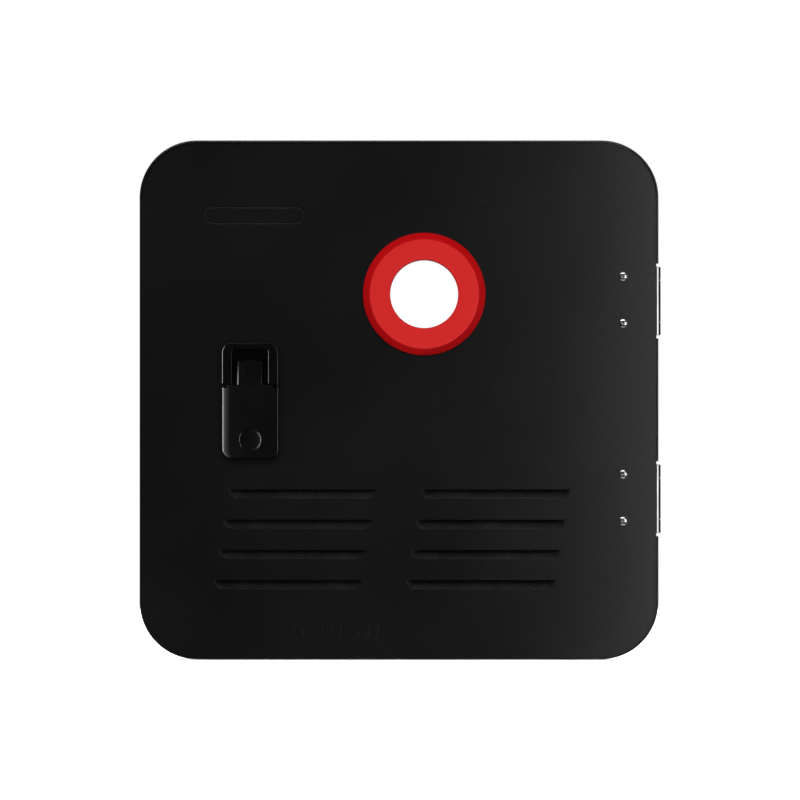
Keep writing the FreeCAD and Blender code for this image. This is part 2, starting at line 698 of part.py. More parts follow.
def neck_solid():
    """Thumb tongue from the paddle's roll up into the pocket, with three grip ribs."""
    top_z = latch_z + neck_top
    front_top = front_y + neck_sink
    front_low = pin_y - roll_r + 0.3
    low_z = pin_z + 1.0
    half = neck_width / 2
    neck = yz_prism([(front_low, low_z), (front_top, top_z), (front_top + neck_thick, top_z),
                     (pin_y + 2.0, pin_z + 1.5), (pin_y, pin_z)], latch_x - half, latch_x + half)
    top_edges = [e for e in neck.Edges if e.BoundBox.XLength > neck_width - 0.1 and e.BoundBox.ZMin > top_z - 0.1]
    neck = neck.makeFillet(0.9, top_edges)
    ribs = []
    for n in range(3):
        z = top_z - 3.0 - 2.6 * n
        y = front_top + (front_low - front_top) * (top_z - z) / (top_z - low_z)
        ribs.append(x_rod(0.6, y, z, latch_x - half + 2.0, latch_x + half - 2.0))
    return fuse_all([neck] + ribs)


def make_latch_paddle():
    half_w = latch_width / 2
    face_y = front_y - latch_proud
    top_v = pin_v + roll_r
    height = top_v - paddle_bottom + latch_corner_r
    plate = prism(rounded_rect(latch_width, height, latch_corner_r, latch_x,
                               latch_z + paddle_bottom + height / 2), face_y, face_y + paddle_thick)
    plate = plate.makeFillet(1.8, edges_at_y(plate, face_y))
    below = latch_block(-half_w - 1, half_w + 1, -latch_proud - 1, 0, paddle_bottom - 1, pin_v)
    round_top = x_rod(roll_r, pin_y, pin_z, latch_x - half_w - 1, latch_x + half_w + 1)
    plate = plate.common(below.fuse(round_top))
    roll = x_rod(roll_r, pin_y, pin_z, latch_x - roll_half, latch_x + roll_half)
    arm = rect_block(latch_x - peg_r, latch_x + peg_r, pin_y, front_y + floor_depth - 1.5,
                     pin_z - 2.6, pin_z + 2.6)
    peg = y_rod(peg_r, latch_x, pin_z, pin_y, pin_y + peg_reach)
    paddle = fuse_all([plate, roll, neck_solid(), arm, peg])
    cuts = [x_rod(pin_r + pin_running_gap, pin_y, pin_z, latch_x - half_w, latch_x + half_w)]
    for side in (-1, 1):
        u0, u1 = sorted((side * (lug_inner - lug_side_gap), side * (lug_outer + lug_side_gap)))
        cuts.append(x_rod(lug_r + 0.5, pin_y, pin_z, latch_x + u0, latch_x + u1))
        cuts.append(rect_block(latch_x + u0, latch_x + u1, pin_y, pin_y + roll_r + 1,
                               pin_z - roll_r - 1, pin_z + roll_r + 1))
        cuts.append(rect_block(latch_x + u0, latch_x + u1, face_y + paddle_thick, pin_y + roll_r,
                               pin_z - roll_r - 1, pin_z))
    dish = y_rod(dimple_r, latch_x, latch_z + paddle_bottom + dimple_edge, face_y - 1, face_y + dimple_depth)
    cuts.append(dish)
    return paddle.cut(cuts)


def make_paddle_pin():
    return x_rod(pin_r, pin_y, pin_z, latch_x - roll_half + 0.2, latch_x + roll_half - 0.2)


def make_latch_bolt():
    """Sliding bolt: slotted body behind the floor, tongue through the side, bevelled nose."""
    y0, y1 = bolt_front_y, bolt_back_y
    slot_half = peg_r + slot_gap
    left = -bolt_travel - slot_half - bolt_margin
    right = slot_half + bolt_margin
    z_mid = latch_z + bolt_v
    body = rect_block(latch_x + left, latch_x + right, y0, y1, z_mid - bolt_height / 2, z_mid + bolt_height / 2)
    tongue = rect_block(bolt_tip_x + 1, latch_x + left + 1, y0, y1, z_mid - tongue_height / 2,
                        z_mid + tongue_height / 2)
    nose_points = [Vector(bolt_tip_x, y0, 0), Vector(bolt_tip_x + nose_length, y0, 0),
                   Vector(bolt_tip_x + nose_length, y0 + nose_thick, 0),
                   Vector(bolt_tip_x + nose_length * 0.62, y0 + nose_thick, 0),
                   Vector(bolt_tip_x, y0 + 1.2, 0)]
    nose = Part.Face(Part.makePolygon(nose_points + nose_points[:1])).extrude(Vector(0, 0, tongue_height))
    nose.translate(Vector(0, 0, z_mid - tongue_height / 2))
    spigot = x_rod(spring_coil_r - spring_wire_r - 0.3, (y0 + y1) / 2, z_mid, latch_x + right - 0.5,
                   latch_x + right + 2.2)
    spigot = spigot.common(rect_block(latch_x + right - 1, latch_x + right + 3, y0, y1, z_mid - 5, z_mid + 5))
    bolt = fuse_all([body, tongue, nose, spigot])
    run = bolt_travel * math.sqrt(2)
    slot = stadium(run + 2 * slot_half, 2 * slot_half, latch_x - bolt_travel / 2, pin_z - bolt_travel / 2, 45)
    return bolt.cut(prism(slot, y0 - 1, y1 + 1))


def make_bolt_spring():
    """Compression spring from the bolt's end to the housing's side wall."""
    x0 = latch_x + peg_r + slot_gap + bolt_margin + spring_wire_r + 0.05
    x1 = latch_x + body_width / 2 - body_wall - spring_wire_r - 0.05
    pitch = (x1 - x0) / spring_turns
    path = Part.makeHelix(pitch, x1 - x0, spring_coil_r - spring_wire_r)
    section = Part.Wire(Part.Circle(Vector(spring_coil_r - spring_wire_r, 0, 0), Vector(0, 1, 0),
                                    spring_wire_r).toShape())
    coil = Part.Wire(path.Edges).makePipeShell([section], True, True)
    coil.rotate(Vector(0, 0, 0), Vector(0, 1, 0), 90)
    coil.translate(Vector(x0, (bolt_front_y + bolt_back_y) / 2, latch_z + bolt_v))
    return coil


def make_latch_cover():
    plate = prism(rounded_rect(body_width, cover_height, 2.0, latch_x, latch_z + bolt_v),
                  cover_front_y, cover_front_y + cover_thick)
    holes = [y_rod(cover_screw_r + 0.2, latch_x + su * cover_screw_u, latch_z + bolt_v + sv * cover_screw_v,
                   cover_front_y - 1, cover_front_y + cover_thick + 1) for su in (-1, 1) for sv in (-1, 1)]
    return plate.cut(holes)


def make_cover_screws():
    """Pan-head screws with a cross recess."""
    screws = []
    y = cover_front_y + cover_thick
    for su in (-1, 1):
        for sv in (-1, 1):
            x, z = latch_x + su * cover_screw_u, latch_z + bolt_v + sv * cover_screw_v
            head = y_rod(cover_head_r, x, z, y, y + cover_head_high)
            head = head.makeFillet(0.6, edges_at_y(head, y + cover_head_high))
            shank = y_rod(cover_screw_r - 0.02, x, z, cover_front_y - 3.0, y)
            screw = fuse_all([head, shank])
            for w, h in ((2.2, 0.5), (0.5, 2.2)):
                screw = screw.cut(rect_block(x - w / 2, x + w / 2, y + 0.5, y + 2, z - h / 2, z + h / 2))
            screws.append(screw)
    return screws


def make_strike_plate():
    """Flat plate on the flange, reaching in front of the bolt, its inner edge turned forwards."""
    x0 = -frame_width / 2 + strike_inset
    z_mid = latch_z + bolt_v
    y1 = flange_front_y
    plate = rect_block(x0, strike_tip_x, y1 - strike_thick, y1, z_mid - strike_height / 2, z_mid + strike_height / 2)
    corners = [e for e in plate.Edges if e.BoundBox.YLength > strike_thick - 0.01]
    plate = plate.makeFillet(3.0, corners)
    holes = [y_rod(foot_rivet_r + rivet_gap, x, z, y1 - strike_thick - 1, y1 + 1) for x, z in strike_rivets()]
    holes.append(y_rod(screw_hole_r, -screw_line_x, 0, y1 - strike_thick - 1, y1 + 1))
    tip = [e for e in plate.Edges if e.BoundBox.ZLength > strike_height / 2 and e.BoundBox.XMin > strike_tip_x - 0.01
           and e.BoundBox.YMax < y1 - strike_thick + 0.01]
    return plate.makeFillet(1.2, tip).cut(holes)


# ---- Every node -----------------------------------------------------------------------------
def all_parts():
    parts = {
        "mounting_frame": make_mounting_frame(),
        "wall_gasket": make_wall_gasket(),
        "door_bumpers": make_bumpers(),
        "strike_plate": make_strike_plate(),
        "strike_rivets": make_strike_rivets(),
        "hinge_frame_rivets": make_foot_rivets(),
        "door_skin": make_door_skin(),
        "exhaust_ring": make_exhaust_ring(),
        "hinge_door_rivets": make_door_rivets(),
        "latch_housing": make_latch_housing(),
        "latch_paddle": make_latch_paddle(),
        "paddle_pin": make_paddle_pin(),
        "latch_bolt": make_latch_bolt(),
        "bolt_spring": make_bolt_spring(),
        "latch_cover": make_latch_cover(),
        "latch_cover_screws": make_cover_screws(),
    }
    for name, z in (("upper", hinge_z), ("lower", -hinge_z)):
        parts[name + "_hinge_door_leaf"] = make_door_leaf(z)
        parts[name + "_hinge_frame_leaf"] = make_frame_leaf(z)
        parts[name + "_hinge_pin"] = make_hinge_pin(z)
    return parts


def main():
    os.makedirs("parts", exist_ok=True)
    for name, made in all_parts().items():
        solids = made if isinstance(made, list) else [made]
        shape = solids[0] if len(solids) == 1 else Part.makeCompound(solids)
        print(name, len(shape.Solids), "solids", "valid" if shape.isValid() else "INVALID",
              "%.1f mm3" % shape.Volume)
        shape.exportStep(os.path.join("parts", name + ".step"))
    print("hinge axis x %.3f y %.3f, paddle pin y %.3f z %.3f, bolt travel %.3f"
          % (hinge_axis_x, hinge_axis_y, pin_y, pin_z, bolt_travel))


main()
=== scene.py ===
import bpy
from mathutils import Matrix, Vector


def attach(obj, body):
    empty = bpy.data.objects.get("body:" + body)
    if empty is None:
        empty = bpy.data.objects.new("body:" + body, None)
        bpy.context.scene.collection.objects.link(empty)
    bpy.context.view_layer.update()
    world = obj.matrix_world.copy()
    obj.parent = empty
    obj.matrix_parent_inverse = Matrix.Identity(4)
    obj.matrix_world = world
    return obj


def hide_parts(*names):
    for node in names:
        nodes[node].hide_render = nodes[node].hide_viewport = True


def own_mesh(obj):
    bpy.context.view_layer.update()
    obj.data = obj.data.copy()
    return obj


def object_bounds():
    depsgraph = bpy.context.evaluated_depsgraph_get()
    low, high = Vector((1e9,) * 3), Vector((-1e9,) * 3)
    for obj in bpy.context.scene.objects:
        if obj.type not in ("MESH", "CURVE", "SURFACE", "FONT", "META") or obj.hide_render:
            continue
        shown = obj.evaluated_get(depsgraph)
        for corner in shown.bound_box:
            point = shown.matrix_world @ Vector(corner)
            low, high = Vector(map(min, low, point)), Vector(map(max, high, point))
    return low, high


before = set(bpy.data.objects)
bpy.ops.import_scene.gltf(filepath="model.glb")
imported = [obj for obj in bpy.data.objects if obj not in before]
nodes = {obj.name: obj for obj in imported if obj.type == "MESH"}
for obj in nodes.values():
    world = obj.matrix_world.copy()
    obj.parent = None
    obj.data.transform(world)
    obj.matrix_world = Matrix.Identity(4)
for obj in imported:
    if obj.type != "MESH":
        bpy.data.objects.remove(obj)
cad_bounds = [list(corner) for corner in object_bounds()]

import math

import bmesh
import bpy
from mathutils import Vector

MM = 0.001
TO_FRONT, TO_BACK = (0, -1, 0), (0, 1, 0)

# ---- Sizes shared with the CAD, in millimetres; angles in radians --------------------------
DOOR = 381.0
CORNER = 42.0
SHEET = 1.0
BEND = 2.0
FRONT = -16.0
BACK = FRONT + SHEET
RIM = -1.0
NOTCH_DEPTH = 1.6
NOTCH_Z = (-100.1, -45.1, 45.1, 100.1)
LOUVRE_LENGTH = 110.0
LOUVRE_REACH = 7.3
LOUVRE_SLOPE = math.radians(36)
LOUVRE_BEND = 1.6
LOUVRE_ROWS = 4
LOUVRE_TOP_Z = -65.7
LOUVRE_PITCH = 22.2
LOUVRE_SHIFT = 3.5
LOUVRE_GROUP_X = 70.6
MARK_DEPTH = 0.35
MARK_HALF = 0.65
BADGE = (-105.6, 135.7)
BADGE_HALF_W, BADGE_HALF_H = 37.0, 6.5
WAVE_DROP, WAVE_PITCH = 57, 8
WAVE_SWING, WAVE_HEIGHT = 1.0, 8.0
TICK_GROUPS = (2, 3, 5, 8)
TICK_X, TICK_Z = -8.1, -169.7
TICK_PITCH = 6.8
TICK_HALF = 3.05
TICK_LEAN = math.radians(76)
RING = (18.5, 77.7)
RING_HOLE = 37.5
RING_BORE, RING_FACE, RING_RIM = 25, 40, 45
RING_PROUD, RING_SLEEVE_END, RING_SLEEVE = 6, 26, 29
LATCH = (-109.3, -0.8)
LATCH_W, LATCH_H = 41.4, 84.8
LATCH_CORNER = 7.0
LATCH_CUTOUT = (18.7, 39.7)
CUTOUT_CORNER = 1.6
POCKET_HALF, POCKET_TOP = 13.34, 37.94
PROUD = 5.5
PADDLE_THICK = 2.8
PIN_Y, PIN_Z = -16.8, 6.6
PIN_BORE = 1.55
ROLL = 4.7
LEAF = 1.2
HINGE_Z = 72.6
RIVET_RISE = 0.7
STRIKE_Z = 3.8
FLANGE_BACK = 0.0
FRAME_LEAF_FRONT, STRIKE_FRONT = -2.4, -3.2
DOOR_RIVET_X, FRAME_RIVET_X, STRIKE_RIVET_X = 164.5, 170.5, -171.0
# Half the spacing of each pair.
DOOR_RIVET_HALF, FRAME_RIVET_HALF, STRIKE_RIVET_HALF = 17.2, 17, 20
# Shank radius, head radius and height, tail radius and height.
DOOR_RIVET = (1.6, 3.3, 1.5, 2.7, 1.8)
FRAME_RIVET = (2.0, 3.9, 1.6, 2.7, 1.8)


# ---- Mesh building --------------------------------------------------------------------------
WELD = 2e-7


class Shell:
    """Points and faces of one piece, in millimetres."""

    def __init__(self):
        self.points, self.faces, self.fills = [], [], []

    def add(self, points):
        start = len(self.points)
        self.points += [tuple(p) for p in points]
        return list(range(start, len(self.points)))

    def ring(self, outline, y):
        """Loop of (x, z) points at one depth."""
        return self.add((x, y, z) for x, z in outline)

    def bridge(self, a, b, closed=True):
        count = len(a)
        for i in range(count if closed else count - 1):
            j = (i + 1) % count
            self.faces.append((a[i], a[j], b[j], b[i]))

    def chain(self, loops, closed=True):
        for a, b in zip(loops, loops[1:]):
            self.bridge(a, b, closed)

    def fill(self, loops, normal):
        """Flat region bounded by loops; the inner ones are holes."""
        self.fills.append((loops, normal))

    def build(self, name, body, material, replaced, sharp=38):
        """Makes the piece; edges sharper than the given degrees stay sharp."""
        bm = bmesh.new()
        flat = bm.faces.layers.int.new("flat")
        verts = [bm.verts.new(Vector(p) * MM) for p in self.points]
        for face in self.faces:
            made = bm.faces.new([verts[i] for i in face])
            made[flat] = len(face) > 4
        for loops, normal in self.fills:
            edges = []
            for loop in loops:
                for i, j in zip(loop, loop[1:] + loop[:1]):
                    pair = (verts[i], verts[j])
                    edges.append(bm.edges.get(pair) or bm.edges.new(pair))
            filled = bmesh.ops.triangle_fill(bm, edges=edges, normal=normal, use_beauty=True)
            for made in filled["geom"]:
                if isinstance(made, bmesh.types.BMFace):
                    made[flat] = 1
        bmesh.ops.remove_doubles(bm, verts=bm.verts, dist=WELD)
        bmesh.ops.recalc_face_normals(bm, faces=bm.faces)
        mesh = bpy.data.meshes.new(name)
        bm.to_mesh(mesh)
        bm.free()
        mesh.polygons.foreach_set("use_smooth", [True] * len(mesh.polygons))
        mesh.set_sharp_from_angle(angle=math.radians(sharp))
        settle_normals(mesh, math.cos(math.radians(sharp)))
        piece = bpy.data.objects.new(name, mesh)
        bpy.context.scene.collection.objects.link(piece)
        mesh.materials.append(material)
        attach(piece, body)
        if replaced:
            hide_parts(*replaced)
        return piece


def settle_normals(mesh, limit):
    """Keeps flat regions flat: curved faces beside them take their normal at the shared points."""
    is_flat = mesh.attributes["flat"].data
    at_point = {}
    for face in mesh.polygons:
        if is_flat[face.index].value:
            for point in face.vertices:
                at_point.setdefault(point, []).append(face.normal.copy())
    normals = [tuple(n.vector) for n in mesh.corner_normals]
    for face in mesh.polygons:
        for corner in face.loop_indices:
            if is_flat[face.index].value:
                normals[corner] = tuple(face.normal)
                continue
            near = at_point.get(mesh.loops[corner].vertex_index, ())
            close = [n for n in near if n.dot(face.normal) > limit]
            if close:
                normals[corner] = tuple(max(close, key=face.normal.dot))
    mesh.normals_split_custom_set(normals)
    mesh.attributes.remove(mesh.attributes["flat"])


def arc(cx, cz, radius, a0, a1, count):
    """Points on an arc, both ends included, angles in degrees."""
    steps = [math.radians(a0 + (a1 - a0) * i / count) for i in range(count + 1)]
    return [(cx + radius * math.cos(a), cz + radius * math.sin(a)) for a in steps]


def rect_loop(x0, x1, z0, z1, r, count):
    """Rounded rectangle, from its upper right corner round by the upper left."""
    points = []
    places = ((x1, z1, 1, 1, 0), (x0, z1, -1, 1, 90), (x0, z0, -1, -1, 180), (x1, z0, 1, -1, 270))
    for x, z, sx, sz, start in places:
        points += arc(x - sx * r, z - sz * r, r, start, start + 90, count)
    return points


def circle_loop(cx, cz, radius, count):
    return arc(cx, cz, radius, 0, 360, count)[:-1]


def lathe(shell, profile, cx, cz, count, closed=False):
    """Turns (radius, y) points about the Y-parallel axis through cx, cz."""
    loops = [shell.ring(circle_loop(cx, cz, r, count), y) for r, y in profile]
    if closed:
        loops.append(loops[0])
    shell.chain(loops)
    if not closed:
        shell.fill([loops[0]], TO_FRONT)
        shell.fill([loops[-1]], TO_BACK)


def rounded(points, radius, count):
    """Polyline with its inner corners rounded; a point may carry its own radius as a third value."""
    out = [points[0][:2]]
    for before, here, after in zip(points, points[1:], points[2:]):
        r = here[2] if len(here) > 2 else radius
        p = Vector(here[:2])
        a, b = Vector(before[:2]) - p, Vector(after[:2]) - p
        reach = min(r, a.length * 0.48, b.length * 0.48)
        if reach < 0.01:
            out.append(tuple(p))
            continue
        p0, p2 = p + a.normalized() * reach, p + b.normalized() * reach
        for i in range(count + 1):
            t = i / count
            out.append(tuple(p0 * (1 - t) ** 2 + p * 2 * t * (1 - t) + p2 * t ** 2))
    out.append(points[-1][:2])
    return out


def path_outline(path, offset):
    """Closed outline round an open path, with round ends."""
    count = 7
    left, right = [], []
    for i, p in enumerate(path):
        a, b = Vector(path[max(i - 1, 0)]), Vector(path[min(i + 1, len(path) - 1)])
        along = (b - a).normalized()
        side = Vector((-along.y, along.x)) * offset
        left.append(tuple(Vector(p) + side))
        right.append(tuple(Vector(p) - side))

    def cap(p, q, sign):
        heading = math.degrees(math.atan2(q[1] - p[1], q[0] - p[0]))
        start = heading - 90 if sign > 0 else heading + 90
        return arc(p[0], p[1], offset, start, start + 180, count)[1:-1]

    tip = path[-1], (2 * path[-1][0] - path[-2][0], 2 * path[-1][1] - path[-2][1])
    tail = path[0], path[1]
    return right + cap(tip[0], tip[1], 1) + left[::-1] + cap(tail[0], tail[1], -1)


# ---- Materials ------------------------------------------------------------------------------
# Colour sockets of the Mix node.
MIX_A, MIX_B, MIX_OUT = 6, 7, 2
DUST_COLOUR = (0.3, 0.28, 0.25)


def new_material(name):
    material = bpy.data.materials.new(name)
    material.use_nodes = True
    tree = material.node_tree
    shader = tree.nodes["Principled BSDF"]
    return material, tree, shader


def node(tree, kind, **values):
    made = tree.nodes.new(kind)
    for key, value in values.items():
        if hasattr(made, key):
            setattr(made, key, value)
        else:
            made.inputs[key.replace("_", " ")].default_value = value
    return made


def noise(tree, scale, detail=3.0, stretch=(1, 1, 1), rough=0.5):
    """Noise in metres, in the object's own coordinates."""
    place = node(tree, "ShaderNodeTexCoord")
    mapping = node(tree, "ShaderNodeMapping")
    mapping.inputs["Scale"].default_value = stretch
    made = node(tree, "ShaderNodeTexNoise", Scale=scale, Detail=detail, Roughness=rough)
    tree.links.new(place.outputs["Object"], mapping.inputs["Vector"])
    tree.links.new(mapping.outputs["Vector"], made.inputs["Vector"])
    return made.outputs["Fac"]


def remap(tree, value, a, b, lo, hi):
    made = node(tree, "ShaderNodeMapRange")
    for key, number in (("From Min", a), ("From Max", b), ("To Min", lo), ("To Max", hi)):
        made.inputs[key].default_value = number
    tree.links.new(value, made.inputs["Value"])
    return made.outputs["Result"]


def blend_colours(tree, factor, a, b):
    """Mix of two colours; the first may be another node's output."""
    mix = node(tree, "ShaderNodeMix", data_type="RGBA")
    tree.links.new(factor, mix.inputs["Factor"])
    if isinstance(a, tuple):
        mix.inputs[MIX_A].default_value = (*a, 1)
    else:
        tree.links.new(a, mix.inputs[MIX_A])
    mix.inputs[MIX_B].default_value = (*b, 1)
    return mix.outputs[MIX_OUT]


def combine(tree, operation, a, b):
    made = node(tree, "ShaderNodeMath", operation=operation)
    for socket, value in zip(made.inputs, (a, b)):
        if isinstance(value, (int, float)):
            socket.default_value = value
        else:
            tree.links.new(value, socket)
    return made.outputs[0]


def bump(tree, shader, layers):
    """Chained bumps from (height, distance in metres, strength)."""
    last = None
    for height, distance, strength in layers:
        made = node(tree, "ShaderNodeBump", Strength=strength, Distance=distance)
        tree.links.new(height, made.inputs["Height"])
        if last is not None:
            tree.links.new(last, made.inputs["Normal"])
        last = made.outputs["Normal"]
    tree.links.new(last, shader.inputs["Normal"])


def dust(tree, strength):
    """Faint settled dust: more on what faces up, broken by noise."""
    geometry = node(tree, "ShaderNodeNewGeometry")
    split = node(tree, "ShaderNodeSeparateXYZ")
    tree.links.new(geometry.outputs["Normal"], split.inputs[0])
    up = remap(tree, split.outputs["Z"], 0.2, 1.0, 0.0, strength)
    return combine(tree, "MULTIPLY", up, remap(tree, noise(tree, 60, 5), 0.35, 0.65, 0.2, 1.0))


def painted(name, colour, rough, peel, specular=0.5):
    """Baked enamel: fine orange peel, soft gloss changes, faint scuffs and dust."""
    material, tree, shader = new_material(name)
    shader.inputs["Specular IOR Level"].default_value = specular
    broad = noise(tree, 9, 3)
    fine = noise(tree, 420, 2)
    scuff = noise(tree, 90, 6, (1, 1, 9), 0.7)
    marks = remap(tree, scuff, 0.66, 0.74, 0.0, 1.0)
    darker = tuple(c * 0.82 for c in colour)
    lighter = tuple(c * 1.18 for c in colour)
    shade = blend_colours(tree, remap(tree, broad, 0.3, 0.7, 0, 1), darker, lighter)
    dusty = blend_colours(tree, dust(tree, 0.05), shade, DUST_COLOUR)
    tree.links.new(dusty, shader.inputs["Base Color"])
    level = combine(tree, "ADD", remap(tree, broad, 0.3, 0.7, rough - 0.015, rough + 0.015),
                    combine(tree, "MULTIPLY", marks, 0.02))
    tree.links.new(level, shader.inputs["Roughness"])
    bump(tree, shader, [(noise(tree, 900, 1), 0.0001, peel), (fine, 0.0001, peel * 0.6)])
    return material


def metal(name, colour, rough, grain, stretch=(1, 1, 1), spangle=0.0):
    """Bare or plated metal with a drawn grain, tarnish and fine scratches."""
    material, tree, shader = new_material(name)
    shader.inputs["Metallic"].default_value = 1.0
    lines = noise(tree, 1500, 3, stretch)
    cloud = noise(tree, 70, 5)
    dull = tuple(c * 0.78 for c in colour)
    tree.links.new(blend_colours(tree, remap(tree, cloud, 0.35, 0.7, 0, 1), colour, dull),
                   shader.inputs["Base Color"])
    level = combine(tree, "ADD", remap(tree, lines, 0.3, 0.7, rough * 0.75, rough * 1.25),
                    remap(tree, cloud, 0.4, 0.75, 0.0, spangle))
    tree.links.new(level, shader.inputs["Roughness"])
    bump(tree, shader, [(lines, 0.00005, grain), (noise(tree, 5200, 2), 0.00002, grain)])
    return material


def moulded(name, colour, rough, grain, scale=2500, scratches=0.0, specular=0.5):
    """Moulded plastic or rubber: surface grain, gloss changes, handling marks."""
    material, tree, shader = new_material(name)
    shader.inputs["Specular IOR Level"].default_value = specular
    cloud = noise(tree, 45, 4)
    low = tuple(c * 0.86 for c in colour)
    high = tuple(min(c * 1.1, 1) for c in colour)
    tree.links.new(blend_colours(tree, remap(tree, cloud, 0.3, 0.7, 0, 1), low, high),
                   shader.inputs["Base Color"])
    rub = remap(tree, noise(tree, 260, 6, (1, 1, 6), 0.7), 0.6, 0.75, 0.0, scratches)
    level = combine(tree, "ADD", remap(tree, cloud, 0.3, 0.7, rough * 0.9, rough * 1.1), rub)
    tree.links.new(level, shader.inputs["Roughness"])
    bump(tree, shader, [(noise(tree, scale, 2), 0.00006, grain)])
    return material


def silicone(name):
    """Moulded red silicone: matt, with painted light that makes the face looking out of the door paler than
    the bevel.
    """
    deep, painted_lit_red = (0.60, 0.004, 0.006), (0.70, 0.022, 0.021)
    material, tree, shader = new_material(name)
    shader.inputs["Specular IOR Level"].default_value = 0.22
    place = node(tree, "ShaderNodeTexCoord")
    split = node(tree, "ShaderNodeSeparateXYZ")
    tree.links.new(place.outputs["Normal"], split.inputs[0])
    # Painted light: the red turns paler where the surface faces out of the door, standing in for the light
    # falling there.
    painted_light_on_face = remap(tree, split.outputs["Y"], -0.98, -0.8, 1.0, 0.0)
    cloud = remap(tree, noise(tree, 55, 5), 0.3, 0.7, 0.86, 1.0)
    tree.links.new(blend_colours(tree, combine(tree, "MULTIPLY", painted_light_on_face, cloud), deep, painted_lit_red),
                   shader.inputs["Base Color"])
    level = remap(tree, noise(tree, 30, 4), 0.3, 0.7, 0.46, 0.58)
    tree.links.new(level, shader.inputs["Roughness"])
    bump(tree, shader, [(noise(tree, 1400, 2), 0.00006, 0.12), (noise(tree, 160, 3), 0.0002, 0.03)])
    return material


def foam(name):
    """Closed-cell foam with small pores, painted darker in their pits as shade."""
    painted_pore_shade, light = (0.010, 0.010, 0.011), (0.034, 0.034, 0.036)
    material, tree, shader = new_material(name)
    place = node(tree, "ShaderNodeTexCoord")
    cells = node(tree, "ShaderNodeTexVoronoi", Scale=1300.0)
    tree.links.new(place.outputs["Object"], cells.inputs["Vector"])
    pore_pits_and_shade = remap(tree, cells.outputs["Distance"], 0.0, 0.55, 0.0, 1.0)
    # Painted shade: the colour darkens towards each pore's pit, the same mask that sinks the pits in the
    # bump.
    tree.links.new(blend_colours(tree, pore_pits_and_shade, painted_pore_shade, light), shader.inputs["Base Color"])
    shader.inputs["Roughness"].default_value = 0.92
    bump(tree, shader, [(pore_pits_and_shade, 0.0003, 0.5)])
    return material


black_paint = painted("black_enamel", (0.0085, 0.0085, 0.0089), 0.27, 0.04, 0.4)
frame_paint = painted("frame_enamel", (0.012, 0.012, 0.0125), 0.42, 0.12)
red_silicone = silicone("red_silicone")
gloss_black = moulded("gloss_black", (0.0035, 0.0035, 0.0038), 0.16, 0.02, 3000, 0.12)
dull_black = moulded("grained_black", (0.012, 0.012, 0.0125), 0.5, 0.35, 3500, 0.05)
black_rubber = moulded("black_rubber", (0.014, 0.014, 0.014), 0.62, 0.3, 2200, 0.0, 0.35)
stainless = metal("stainless", (0.66, 0.65, 0.63), 0.2, 0.10, (1, 1, 0.04))
zinc = metal("zinc_plate", (0.63, 0.62, 0.58), 0.32, 0.15, (1, 1, 1), 0.12)
bright_alloy = metal("bright_alloy", (0.80, 0.80, 0.81), 0.16, 0.06)
spring_wire = metal("spring_wire", (0.5, 0.49, 0.47), 0.28, 0.2)
gasket_foam = foam("gasket_foam")

HINGE_PIECES = tuple(f"{side}_hinge_{part}" for side in ("upper", "lower")
                     for part in ("door_leaf", "frame_leaf", "pin"))
CAD_MATERIALS = {
    "mounting_frame": frame_paint, "wall_gasket": gasket_foam, "door_bumpers": black_rubber,
    "strike_plate": zinc, "latch_housing": gloss_black, "latch_cover": dull_black,
    "latch_cover_screws": zinc, "paddle_pin": zinc, "latch_bolt": zinc,
    **dict.fromkeys(HINGE_PIECES, stainless),
}
for name, material in CAD_MATERIALS.items():
    nodes[name].data.materials.clear()
    nodes[name].data.materials.append(material)


# ---- Door panel -----------------------------------------------------------------------------
def panel_loop(inset):
    """Outline of the pan at an inset from its side, with points at the hinge notches."""
    side, centre, r = DOOR / 2 - inset, DOOR / 2 - CORNER, CORNER - inset
    points = [(side, z) for z in NOTCH_Z]
    for sx, sz, start in ((1, 1, 0), (-1, 1, 90), (-1, -1, 180), (1, -1, 270)):
        points += arc(sx * centre, sz * centre, r, start, start + 90, 28)
    return points


def pan_profile():
    """(inset, y) down the outside of the bend, round the rim's edge and up the inside."""
    inner = BEND - SHEET

    def bend(radius, degrees):
        a = math.radians(degrees)
        return BEND - radius * math.sin(a), FRONT + BEND - radius * math.cos(a)

    notch = math.degrees(math.asin((BEND - NOTCH_DEPTH) / BEND))
    inner_notch = math.degrees(math.asin((BEND - NOTCH_DEPTH) / inner))
    out_turn = [0, notch] + [notch + (90 - notch) * i / 8 for i in range(1, 9)]
    in_turn = [90 - (90 - inner_notch) * i / 6 for i in range(6)] + [inner_notch, 0]
    edge = [(0, RIM - 0.2), (0.06, RIM - 0.06), (0.2, RIM), (0.8, RIM), (0.94, RIM - 0.06), (1.0, RIM - 0.2)]
    return [bend(BEND, a) for a in out_turn] + edge + [bend(inner, a) for a in in_turn]


